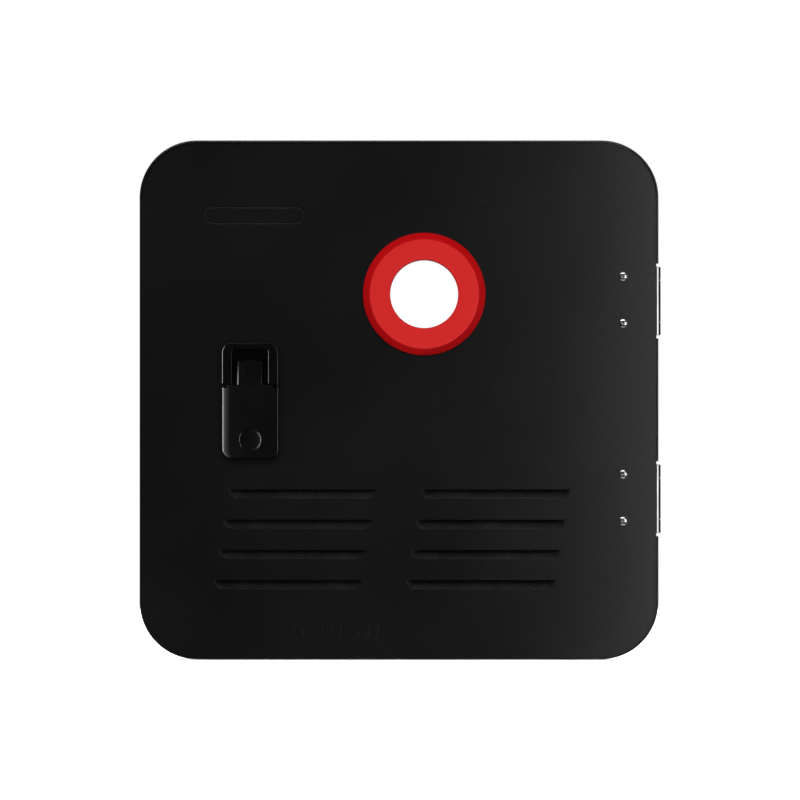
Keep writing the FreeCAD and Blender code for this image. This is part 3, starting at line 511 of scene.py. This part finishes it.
def louvre(shell, left, slit):
    """Pressed tongue with quarter-round ends and a slit on top; returns its front and back outlines."""
    reach, slope, bend = LOUVRE_REACH, LOUVRE_SLOPE, LOUVRE_BEND
    x0, x1 = left + reach, left + LOUVRE_LENGTH - reach
    drop = bend * (1 - math.cos(slope)) + (reach - bend * math.sin(slope)) * math.tan(slope)
    stations = [(x0, a) for a in range(180, 271, 6)] + [(x1, a) for a in range(270, 361, 6)]

    def profile(radius, top):
        turn = [slope * i / 5 for i in range(6)]
        points = [(reach - radius * math.sin(a), bend - radius * math.cos(a)) for a in turn]
        r, depth = points[-1]
        return points + [(r * (1 - t), depth + (top - depth) * t) for t in (0.35, 0.7, 1.0)]

    sides = []
    for radius, top in ((bend, drop), (bend - SHEET, drop + SHEET / math.cos(slope))):
        rows = []
        for r, depth in profile(radius, top):
            rows.append(shell.add((px + r * math.cos(math.radians(a)), FRONT + depth,
                                   slit + r * math.sin(math.radians(a))) for px, a in stations))
        shell.chain(rows, closed=False)
        sides.append(rows)
    front, back = sides
    for end in (0, -1):
        column_a, column_b = [row[end] for row in front], [row[end] for row in back]
        shell.bridge(column_a, column_b, closed=False)
    shell.faces.append((front[-1][0], front[-1][-1], back[-1][-1], back[-1][0]))
    shell.faces.append((front[0][0], front[0][-1], back[0][-1], back[0][0]))
    return front[0], back[0]


def groove(shell, outline):
    """Shallow coined line; outline gives a loop at an offset. Returns its loops, the outer one first."""
    steps = ((0.85, 0.0), (0.74, 0.05), (0.6, 0.19), (0.46, 0.31), (0.32, MARK_DEPTH))
    loops = [shell.ring(outline(offset), FRONT + depth) for offset, depth in steps]
    shell.chain(loops)
    return loops


def wave_path(cx, cz):
    """One upright wave of the row below the exhaust ring."""
    low = cz - WAVE_HEIGHT / 2
    return [(cx + WAVE_SWING * math.sin(t * math.pi * 2), low + WAVE_HEIGHT * t)
            for t in [i / 24 for i in range(25)]]


def tick_paths():
    """Row of slanted ticks in groups, like words."""
    dx, dz = TICK_HALF * math.cos(TICK_LEAN), TICK_HALF * math.sin(TICK_LEAN)
    pitches = sum(TICK_GROUPS) + len(TICK_GROUPS) - 2
    x = TICK_X - pitches * TICK_PITCH / 2
    paths = []
    for group in TICK_GROUPS:
        for _ in range(group):
            paths.append([(x - dx, TICK_Z - dz), (x, TICK_Z), (x + dx, TICK_Z + dz)])
            x += TICK_PITCH
        x += TICK_PITCH
    return paths


def badge_loop(offset):
    half_w, half_h = BADGE_HALF_W - MARK_HALF + offset, BADGE_HALF_H - MARK_HALF + offset
    cx, cz = BADGE
    return rect_loop(cx - half_w, cx + half_w, cz - half_h, cz + half_h, half_h, 14)


def make_panel():
    """Pan with its folded rim, notched for the hinges, with its louvres, holes and marks."""
    shell = Shell()
    profile = pan_profile()
    loops = [shell.ring(panel_loop(inset), y) for inset, y in profile]
    limit = NOTCH_DEPTH - 1e-6
    kept = [i for i, (inset, _) in enumerate(profile) if inset >= limit]
    first = max(i for i in kept if i < len(profile) / 2)
    last = min(i for i in kept if i > len(profile) / 2)
    for i, (a, b) in enumerate(zip(loops, loops[1:])):
        for k in range(len(a)):
            j = (k + 1) % len(a)
            if k in (0, 2) and first <= i < last:
                continue
            shell.faces.append((a[k], a[j], b[j], b[k]))
    for k in (0, 2):
        shell.faces.append((loops[first][k], loops[first][k + 1], loops[last][k + 1], loops[last][k]))
        for end in (k, k + 1):
            shell.faces.append([loops[i][end] for i in range(first, last + 1)])

    front_holes, back_holes = [], []
    for row in range(LOUVRE_ROWS):
        for side in (-1, 1):
            middle = side * LOUVRE_GROUP_X - row * LOUVRE_SHIFT
            slit = LOUVRE_TOP_Z - row * LOUVRE_PITCH
            front, back = louvre(shell, middle - LOUVRE_LENGTH / 2, slit)
            front_holes.append(front)
            back_holes.append(back)
    cx, cz = LATCH
    half_w, half_h = LATCH_CUTOUT
    cutout = rect_loop(cx - half_w, cx + half_w, cz - half_h, cz + half_h, CUTOUT_CORNER, 10)
    for outline in (circle_loop(*RING, RING_HOLE, 128), cutout):
        a, b = shell.ring(outline, FRONT), shell.ring(outline, BACK)
        shell.bridge(a, b)
        front_holes.append(a)
        back_holes.append(b)
    waves = [wave_path(RING[0] + WAVE_PITCH * n, RING[1] - WAVE_DROP) for n in (-1, 0, 1)]
    for path in waves + tick_paths():
        steps = groove(shell, lambda offset, path=path: path_outline(path, offset))
        front_holes.append(steps[0])
        shell.fill([steps[-1]], TO_FRONT)
    outer = groove(shell, badge_loop)
    inner = groove(shell, lambda offset: badge_loop(-offset))
    shell.bridge(outer[-1], inner[-1])
    front_holes.append(outer[0])
    shell.fill([inner[0]], TO_FRONT)
    shell.fill([loops[0]] + front_holes, TO_FRONT)
    shell.fill([loops[-1]] + back_holes, TO_BACK)
    shell.build("door_panel", "door", black_paint, ["door_skin"])


# ---- Exhaust ring ---------------------------------------------------------------------------
def make_ring():
    """Silicone collar: bevelled face, groove for the sheet, tapered lip and sleeve."""
    shell = Shell()
    neck, lip, taper = RING_HOLE - 0.05, 42, 38
    y, seam, face, end = FRONT, FRONT + 4, FRONT - RING_PROUD, FRONT + RING_SLEEVE_END
    # Radius, depth and rounding, from a seam inside the bore out over the face and back.
    corners = [(RING_BORE, seam), (RING_BORE, face, 0.9), (RING_FACE, face, 0.7), (RING_RIM, y - 1.2, 0.8),
               (RING_RIM, y, 0.25), (neck, y, 0.3), (neck, BACK, 0.2), (lip, BACK, 0.3),
               (lip, y + 3.2, 0.8), (taper, y + 6.2, 0.8), (RING_SLEEVE, y + 6.2, 1.6),
               (RING_SLEEVE, end, 0.8), (RING_BORE, end, 0.8), (RING_BORE, seam)]
    lathe(shell, rounded(corners, 0.5, 5)[:-1], *RING, 144, closed=True)
    shell.build("exhaust_collar", "door", red_silicone, ["exhaust_ring"], 60)


# ---- Rivets ---------------------------------------------------------------------------------
def rivet_profile(head_y, tail_y, shank, head, high, tail, tail_high):
    """Blind rivet from its mandrel dimple round the dome, down the shank, to the set tail."""
    top, end = head_y - high, tail_y + tail_high
    axis, crest, brim = 0.01, 0.95, 0.25
    dimple = [(axis, top + 0.75), (0.82, top + 0.74, 0.05), (0.9, top + 0.02, 0.1)]
    dome = [(crest + (head - crest) * math.sin(a), head_y - brim - (high - brim) * math.cos(a))
            for a in [math.radians(12 * i) for i in range(1, 8)]]
    under = [(head, head_y - 0.05, 0.1), (head - 0.1, head_y, 0.05), (shank, head_y, 0.05)]
    back = [(shank, tail_y, 0.05), (tail * 0.9, tail_y, 0.3), (tail, tail_y + tail_high * 0.4, 0.6),
            (tail * 0.7, end - 0.05, 0.4), (0.9, end, 0.2), (0.8, end - 0.4, 0.1), (axis, end - 0.45)]
    return rounded(dimple + dome + under + back, 0.1, 3)


def rivet_pairs(x, middles, half):
    """Places of a pair of rivets about each middle, the lower one first."""
    return [(x, middle + d) for middle in middles for d in (-half, half)]


def make_rivets(name, body, places, sizes, node_name):
    """Rivets that stand in for one CAD node; sizes are those of rivet_profile."""
    shell = Shell()
    profile = rivet_profile(*sizes)
    for x, z in places:
        lathe(shell, profile, x, z, 40)
    shell.build(name, body, bright_alloy, [node_name], 50)


# ---- Bolt spring ----------------------------------------------------------------------------
def make_spring():
    """Bolt's return spring, an even coil in the CAD spring's place; the real one squeezes towards its fixed
    end as the bolt slides in.
    """
    shell = Shell()
    cad_spring = bpy.data.objects["bolt_spring"]
    corners = [cad_spring.matrix_world @ Vector(corner) for corner in cad_spring.bound_box]
    (x0, y0, z0), (x1, y1, z1) = [[pick(c[i] for c in corners) / MM for i in range(3)] for pick in (min, max)]
    wire, turns, steps, sides = 0.27, 7, 24, 10
    y, z, radius = (y0 + y1) / 2, (z0 + z1) / 2, (z1 - z0) / 2 - wire
    section = [(math.sin(2 * math.pi * k / sides), math.cos(2 * math.pi * k / sides)) for k in range(sides)]
    loops = []
    for i in range(turns * steps + 1):
        turn = 2 * math.pi * i / steps
        x = x0 + wire + (x1 - x0 - 2 * wire) * i / (turns * steps)
        loops.append(shell.add((x + wire * a, y + (radius + wire * b) * math.cos(turn),
                                z + (radius + wire * b) * math.sin(turn)) for a, b in section))
    shell.chain(loops)
    shell.faces += [loops[0], loops[-1]]
    spring = shell.build("return_spring", "door", spring_wire, ["bolt_spring"], 60)
    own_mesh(spring)


# ---- Paddle ---------------------------------------------------------------------------------
def make_plate():
    """Paddle's plate: crowned towards its sides, with a round thumb dish."""
    shell = Shell()
    cx, cz = LATCH
    face, back = FRONT - PROUD, FRONT - PROUD + PADDLE_THICK
    x0, x1, z0, z1 = cx - LATCH_W / 2, cx + LATCH_W / 2, cz - LATCH_H / 2, PIN_Z + ROLL
    tight, steps = 1.0, 14
    corners = ((x1, z1, 1, 1, 0, tight), (x0, z1, -1, 1, 90, tight),
               (x0, z0, -1, -1, 180, LATCH_CORNER), (x1, z0, 1, -1, 270, LATCH_CORNER))

    def outline(left, right, low, high):
        """Outline with each side pulled in by its own amount, corners kept concentric."""
        points = []
        for x, z, sx, sz, start, full in corners:
            in_x, in_z = (right if sx > 0 else left), (high if sz > 0 else low)
            px, pz = x - sx * max(full, in_x + 0.2), z - sz * max(full, in_z + 0.2)
            rx, rz = abs(x - px) - in_x, abs(z - pz) - in_z
            for i in range(steps + 1):
                a = math.radians(start + 90 * i / steps)
                points.append((px + rx * math.cos(a), pz + rz * math.sin(a)))
        return points

    edge = ((1.2, back), (0.3, back), (0.0, back - 0.3))
    loops = [shell.ring(outline(*[inset] * 4), y) for inset, y in edge]
    # How far the left, right, lower and upper sides are pulled in, and the depth there.
    crown = ((0, 0, 0, 0, 2.0), (0.1, 0.02, 0.02, 0.02, 1.8), (0.3, 0.06, 0.05, 0.05, 1.58),
             (0.8, 0.15, 0.11, 0.1, 1.14), (1.3, 0.3, 0.2, 0.15, 0.7), (1.6, 0.46, 0.3, 0.2, 0.5),
             (1.95, 0.65, 0.4, 0.25, 0.36), (2.5, 0.85, 0.48, 0.28, 0.22), (3.3, 1.1, 0.56, 0.32, 0.1),
             (4.6, 1.4, 0.65, 0.36, 0.03), (6.5, 1.8, 0.75, 0.4, 0.0))
    for *insets, depth in crown:
        loops.append(shell.ring(outline(*insets), face + depth))
    shell.chain(loops)
    dish_z = z0 + 13.8
    # Radius and depth of the dish.
    dish = ((8.25, 0), (8.16, 0.03), (8.05, 0.12), (7.8, 0.48), (7.62, 0.56), (7.3, 0.58), (5.2, 0.64),
            (3.0, 0.68), (1.2, 0.7))
    rings = [shell.ring(circle_loop(cx, dish_z, r, 80), face + depth) for r, depth in dish]
    shell.chain(rings)
    shell.fill([rings[-1]], TO_FRONT)
    shell.fill([loops[-1], rings[0]], TO_FRONT)
    shell.fill([loops[0]], TO_BACK)
    shell.build("paddle_plate", "paddle", gloss_black, ["latch_paddle"], 50)


def make_neck():
    """Paddle's neck, which leans back into the pocket, with three short ribs."""
    neck = Shell()
    cx, cz = LATCH
    low_z, high_z = PIN_Z - 1.0, cz + 30.2
    base, knee = PIN_Y - ROLL + 0.3, PIN_Z + 1.0
    slope = (BACK - base) / (high_z - knee)
    left_x, right_x, shoulder = cx - 10.6, cx + 9.1, 0.6
    bulge_x, bulge_half, bulge_high, steps = cx + 0.2, 4.6, 0.9, 24

    def neck_outline(left, right, top_in):
        """Square shoulders and a low bulge along the top."""
        x0, x1, z1 = left_x + left, right_x - right, high_z - 0.4 - top_in
        crest = []
        for i in range(steps + 1):
            u = 1 - 2 * i / steps
            crest.append((bulge_x + u * bulge_half, z1 + bulge_high * math.cos(u * math.pi / 2) ** 1.2))
        right_side = [(x1, low_z), (x1, knee), (x1, z1 - shoulder)]
        left_side = [(x0, z1 - shoulder), (x0, knee), (x0, low_z)]
        return (right_side + arc(x1 - shoulder, z1 - shoulder, shoulder, 15, 90, 5) + crest +
                arc(x0 + shoulder, z1 - shoulder, shoulder, 90, 165, 5) + left_side)

    def neck_loop(left, right, top_in, y):
        return neck.add((x, y + slope * max(z - knee, -1.0), z) for x, z in neck_outline(left, right, top_in))

    # How far the left, right and top edges are pulled in, and the depth there.
    sections = ((0.5, 0.5, 0.5, 2.6), (0.0, 0.0, 0.0, 2.4), (0, 0, 0, 1.5), (0.1, 0.03, 0.05, 1.15),
                (0.3, 0.15, 0.12, 0.8), (1.55, 0.5, 0.25, 0.24), (1.85, 0.7, 0.32, 0.12),
                (2.5, 0.9, 0.4, 0.0))
    loops = [neck_loop(*insets, base + depth) for *insets, depth in sections]
    neck.chain(loops)
    neck.faces += [loops[0], loops[-1]]
    rib_r = 0.5
    for reach, z in ((2.9, 26.5), (4.4, 23.7), (5.2, 20.6)):
        path = [(cx - reach + rib_r, z), (cx, z), (cx + reach - rib_r, z)]
        rib = []
        for inset, lift in ((0.0, -0.12), (0.06, 0.14), (0.2, 0.32), (0.42, 0.42)):
            points = path_outline(path, rib_r - inset)
            rib.append(neck.add((x, base - lift + slope * (pz - knee), pz) for x, pz in points))
        neck.chain(rib)
        neck.faces += [rib[0], rib[-1]]
    neck.build("paddle_neck", "paddle", gloss_black, (), 50)


def make_hub():
    """Three barrels round the paddle's pin, with the arm and the peg that draws the bolt."""
    rear = Shell()
    cx = LATCH[0]
    for x0, x1 in ((-16.5, -14.8), (-11.2, 11.2), (14.8, 16.5)):
        barrel = arc(PIN_Y, PIN_Z, ROLL - 0.05, 0, 360, 48)[:-1]
        bore = arc(PIN_Y, PIN_Z, PIN_BORE, 0, 360, 48)[:-1]
        ends = []
        for x in (x0, x1):
            a = rear.add((cx + x, y, z) for y, z in barrel)
            b = rear.add((cx + x, y, z) for y, z in bore)
            rear.bridge(a, b)
            ends.append((a, b))
        rear.bridge(ends[0][0], ends[1][0])
        rear.bridge(ends[0][1], ends[1][1])
    peg_r, start, end = 2.0, PIN_Y + 3, PIN_Y + 18.8
    peg = rounded([(0.01, start), (peg_r, start, 0.1), (peg_r, end, 0.5), (0.01, end)], 0.5, 4)
    lathe(rear, peg, cx, PIN_Z, 32)
    arm_half_w, arm_half_h = 2.0, 2.6
    signs = ((1, 1), (-1, 1), (-1, -1), (1, -1))
    arm = [rear.add((cx + sx * arm_half_w, y, PIN_Z + sz * arm_half_h) for sx, sz in signs)
           for y in (PIN_Y + 2, PIN_Y + 14.8)]
    rear.chain(arm)
    rear.faces += [arm[0], arm[1]]
    rear.build("paddle_hub", "paddle", gloss_black, (), 40)


# ---- Latch bezel ----------------------------------------------------------------------------
def make_bezel():
    """Raised upper frame of the latch with soft outer and pocket edges."""
    shell = Shell()
    cx, cz = LATCH
    margin, soft, crisp, inner_r = 0.03, 1.2, 0.5, 1.5
    face = FRONT - PROUD - 0.2
    low = PIN_Z + ROLL + 0.5
    half, top = LATCH_W / 2 + margin, cz + LATCH_H / 2 + margin
    pocket_half, pocket_top = POCKET_HALF, cz + POCKET_TOP

    def loop(x, z, r, y):
        """Open outline up the left leg, over the top and down the right; the legs' ends are cut
        on a slope that leaves room for the paddle's swing."""
        end = low + 0.6 * (y - face)
        left = [(cx - x, end), (cx - x, z - r)] + arc(cx - x + r, z - r, r, 180, 90, 12)[1:]
        right = arc(cx + x - r, z - r, r, 90, 0, 12)[:-1] + [(cx + x, z - r), (cx + x, end)]
        return left + right

    # Half width, top, corner radius and depth of each outline, from the outside into the pocket.
    rows = [(half, top, LATCH_CORNER, FRONT + 0.2)]
    for i in range(9):
        a = math.radians(11.25 * i)
        back = soft * (1 - math.cos(a))
        rows.append((half - back, top - back, LATCH_CORNER - back, face + soft - soft * math.sin(a)))
    for i in range(7):
        a = math.radians(15 * i)
        out = crisp * (1 - math.sin(a))
        rows.append((pocket_half + out, pocket_top + out, inner_r + out, face + crisp - crisp * math.cos(a)))
    deep = FRONT + 9.0
    rows += [(pocket_half, pocket_top, inner_r, deep),
             (pocket_half + 1.2, pocket_top + 1.2, inner_r + 1.2, deep),
             (half - 2.4, top - 3.0, 4.0, FRONT + 0.4)]
    loops = [shell.ring(loop(x, z, r, y), y) for x, z, r, y in rows]
    shell.chain(loops + [loops[0]], closed=False)
    for end in (0, -1):
        shell.faces.append([row[end] for row in loops])
    shell.build("latch_bezel", "door", gloss_black, (), 50)


make_panel()
make_ring()
make_bezel()
make_rivets("door_leaf_rivets", "door",
            rivet_pairs(DOOR_RIVET_X, (HINGE_Z + RIVET_RISE, RIVET_RISE - HINGE_Z), DOOR_RIVET_HALF),
            (FRONT, BACK + LEAF, *DOOR_RIVET), "hinge_door_rivets")
make_rivets("frame_leaf_rivets", "frame", rivet_pairs(FRAME_RIVET_X, (HINGE_Z, -HINGE_Z), FRAME_RIVET_HALF),
            (FRAME_LEAF_FRONT, FLANGE_BACK, *FRAME_RIVET), "hinge_frame_rivets")
make_rivets("strike_plate_rivets", "frame", rivet_pairs(STRIKE_RIVET_X, (STRIKE_Z,), STRIKE_RIVET_HALF),
            (STRIKE_FRONT, FLANGE_BACK, *FRAME_RIVET), "strike_rivets")
make_spring()
make_plate()
make_neck()
make_hub()


# ---- Studio ---------------------------------------------------------------------------------
def area_light(name, place, size, power, target=(0, 0, 0)):
    data = bpy.data.lights.new(name, "AREA")
    data.shape = "RECTANGLE"
    data.size, data.size_y = size
    data.energy = power
    light = bpy.data.objects.new(name, data)
    light.location = place
    light.rotation_euler = (Vector(target) - Vector(place)).to_track_quat("-Z", "Y").to_euler()
    light.visible_camera = False
    bpy.context.scene.collection.objects.link(light)
    return light


def lit_only(light, *names):
    """Lets a light reach only the named pieces."""
    receivers = bpy.data.collections.new(light.name + "_lit")
    for name in names:
        receivers.objects.link(bpy.data.objects[name])
    light.light_linking.receiver_collection = receivers


def make_floor():
    """Pale board with its own wash of light; it throws no light back on the object."""
    white, _, shader = new_material("floor_white")
    shader.inputs["Base Color"].default_value = (0.9, 0.9, 0.9, 1)
    shader.inputs["Roughness"].default_value = 0.9
    shader.inputs["Specular IOR Level"].default_value = 0.1
    mesh = bpy.data.meshes.new("studio_floor")
    half, gap = 1.6, 0.0005
    z = cad_bounds[0][2] - gap
    corners = [(-half, -half, z), (half, -half, z), (half, half, z), (-half, half, z)]
    mesh.from_pydata(corners, [], [(0, 1, 2, 3)])
    floor = bpy.data.objects.new("studio_floor", mesh)
    mesh.materials.append(white)
    bpy.context.scene.collection.objects.link(floor)
    floor.visible_diffuse = floor.visible_glossy = False
    lit_only(area_light("floor_wash", (0, 0, 2.6), (5.0, 5.0), 330), "studio_floor")


def make_world():
    """White where the camera sees it; as light, faint, and brighter behind the door."""
    world = bpy.data.worlds.new("studio")
    world.use_nodes = True
    tree = world.node_tree
    tree.nodes.clear()
    output = node(tree, "ShaderNodeOutputWorld")
    seen = node(tree, "ShaderNodeBackground", Color=(1, 1, 1, 1), Strength=1.0)
    around = node(tree, "ShaderNodeBackground", Color=(1, 1, 1, 1))
    place = node(tree, "ShaderNodeTexCoord")
    split = node(tree, "ShaderNodeSeparateXYZ")
    tree.links.new(place.outputs["Generated"], split.inputs[0])
    strength = remap(tree, split.outputs["Y"], 0.8, 0.96, 0.025, 0.6)
    tree.links.new(strength, around.inputs["Strength"])
    path = node(tree, "ShaderNodeLightPath")
    mix = node(tree, "ShaderNodeMixShader")
    tree.links.new(path.outputs["Is Camera Ray"], mix.inputs[0])
    tree.links.new(around.outputs[0], mix.inputs[1])
    tree.links.new(seen.outputs[0], mix.inputs[2])
    tree.links.new(mix.outputs[0], output.inputs[0])
    bpy.context.scene.world = world


make_floor()
make_world()
# Soft lights: place, size in metres and watts. They are unseen in what shines.
FILLS = (
    ("top_soft", (-0.25, -1.7, 1.6), (2.0, 1.0), 24.5),
    ("left_soft", (-1.5, -1.6, 0.3), (1.0, 1.8), 13),
    ("right_soft", (1.5, -1.6, 0.1), (1.0, 1.8), 16),
    ("low_soft", (0.2, -1.8, -1.2), (2.0, 1.0), 28.5))
for name, place, size, power in FILLS:
    area_light(name, place, size, power).visible_glossy = False
sheen = area_light("door_sheen", (0.24, -0.616, 0.0), (0.04, 2.4), 1.6, (0.24, 0, 0))
lit_only(sheen, "door_panel")
# Lights for the shine of single pieces: place, size in metres, watts and the pieces they reach.
HIGHLIGHTS = (
    ("mark_top", (0.0, -0.13, 1.3), (2.4, 0.12), 9, ("door_panel",)),
    ("mark_right", (1.3, -0.13, 0.0), (0.12, 2.4), 9, ("door_panel",)),
    ("left_strip", (-1.3, -0.16, 0.0), (0.16, 2.4), 16, ("paddle_plate",)),
    ("left_broad", (-1.05, -0.95, 0.0), (1.1, 2.4), 13, ("paddle_plate", "paddle_neck")),
    ("left_near", (-0.5, -1.5, 0.0), (0.5, 2.4), 2, ("paddle_plate",)),
    ("left_edge", (-1.1, -1.0, 0.0), (0.3, 2.4), 27, ("paddle_neck",)),
    ("bezel_left", (-1.3, -0.35, 0.0), (0.6, 2.4), 60, ("latch_bezel",)),
    ("right_strip", (1.3, -0.16, 0.0), (0.10, 2.4), 8, ("paddle_plate", "paddle_neck")),
    ("right_edge", (1.1, -0.9, 0.0), (0.3, 2.4), 8, ("latch_bezel", "paddle_neck")),
    ("hinge_front", (0.6, -1.45, 0.0), (1.2, 2.4), 17, HINGE_PIECES),
    ("rivet_top", (-0.1, -1.0, 1.7), (2.2, 0.9), 22, ("door_leaf_rivets",)),
    ("rivet_right", (0.85, -1.45, 0.05), (0.5, 0.6), 6, ("door_leaf_rivets",)),
    ("rivet_low", (0.1, -1.0, -1.7), (2.2, 0.7), 6, ("door_leaf_rivets",)))
for name, place, size, power, pieces in HIGHLIGHTS:
    light = area_light(name, place, size, power)
    lit_only(light, *pieces)
    light.visible_diffuse = False
sheen.visible_diffuse = False
for x in (-1.6, 1.6):
    area_light("back_soft", (x, 1.9, 1.2), (1.6, 1.6), 60).visible_glossy = False

LENS = 400.0
SENSOR = 36.0
VIEW_WIDTH = 0.5873
VIEW_X, VIEW_Z = 0.0007, -0.0001
camera_data = bpy.data.cameras.new("photo_camera")
camera_data.lens = LENS
camera_data.sensor_width = SENSOR
camera = bpy.data.objects.new("photo_camera", camera_data)
camera.location = (VIEW_X, FRONT * MM - VIEW_WIDTH * LENS / SENSOR, VIEW_Z)
camera.rotation_euler = (math.pi / 2, 0, 0)
bpy.context.scene.collection.objects.link(camera)
bpy.context.scene.camera = camera
bpy.context.scene.view_settings.view_transform = "Standard"
bpy.context.scene.view_settings.look = "None"
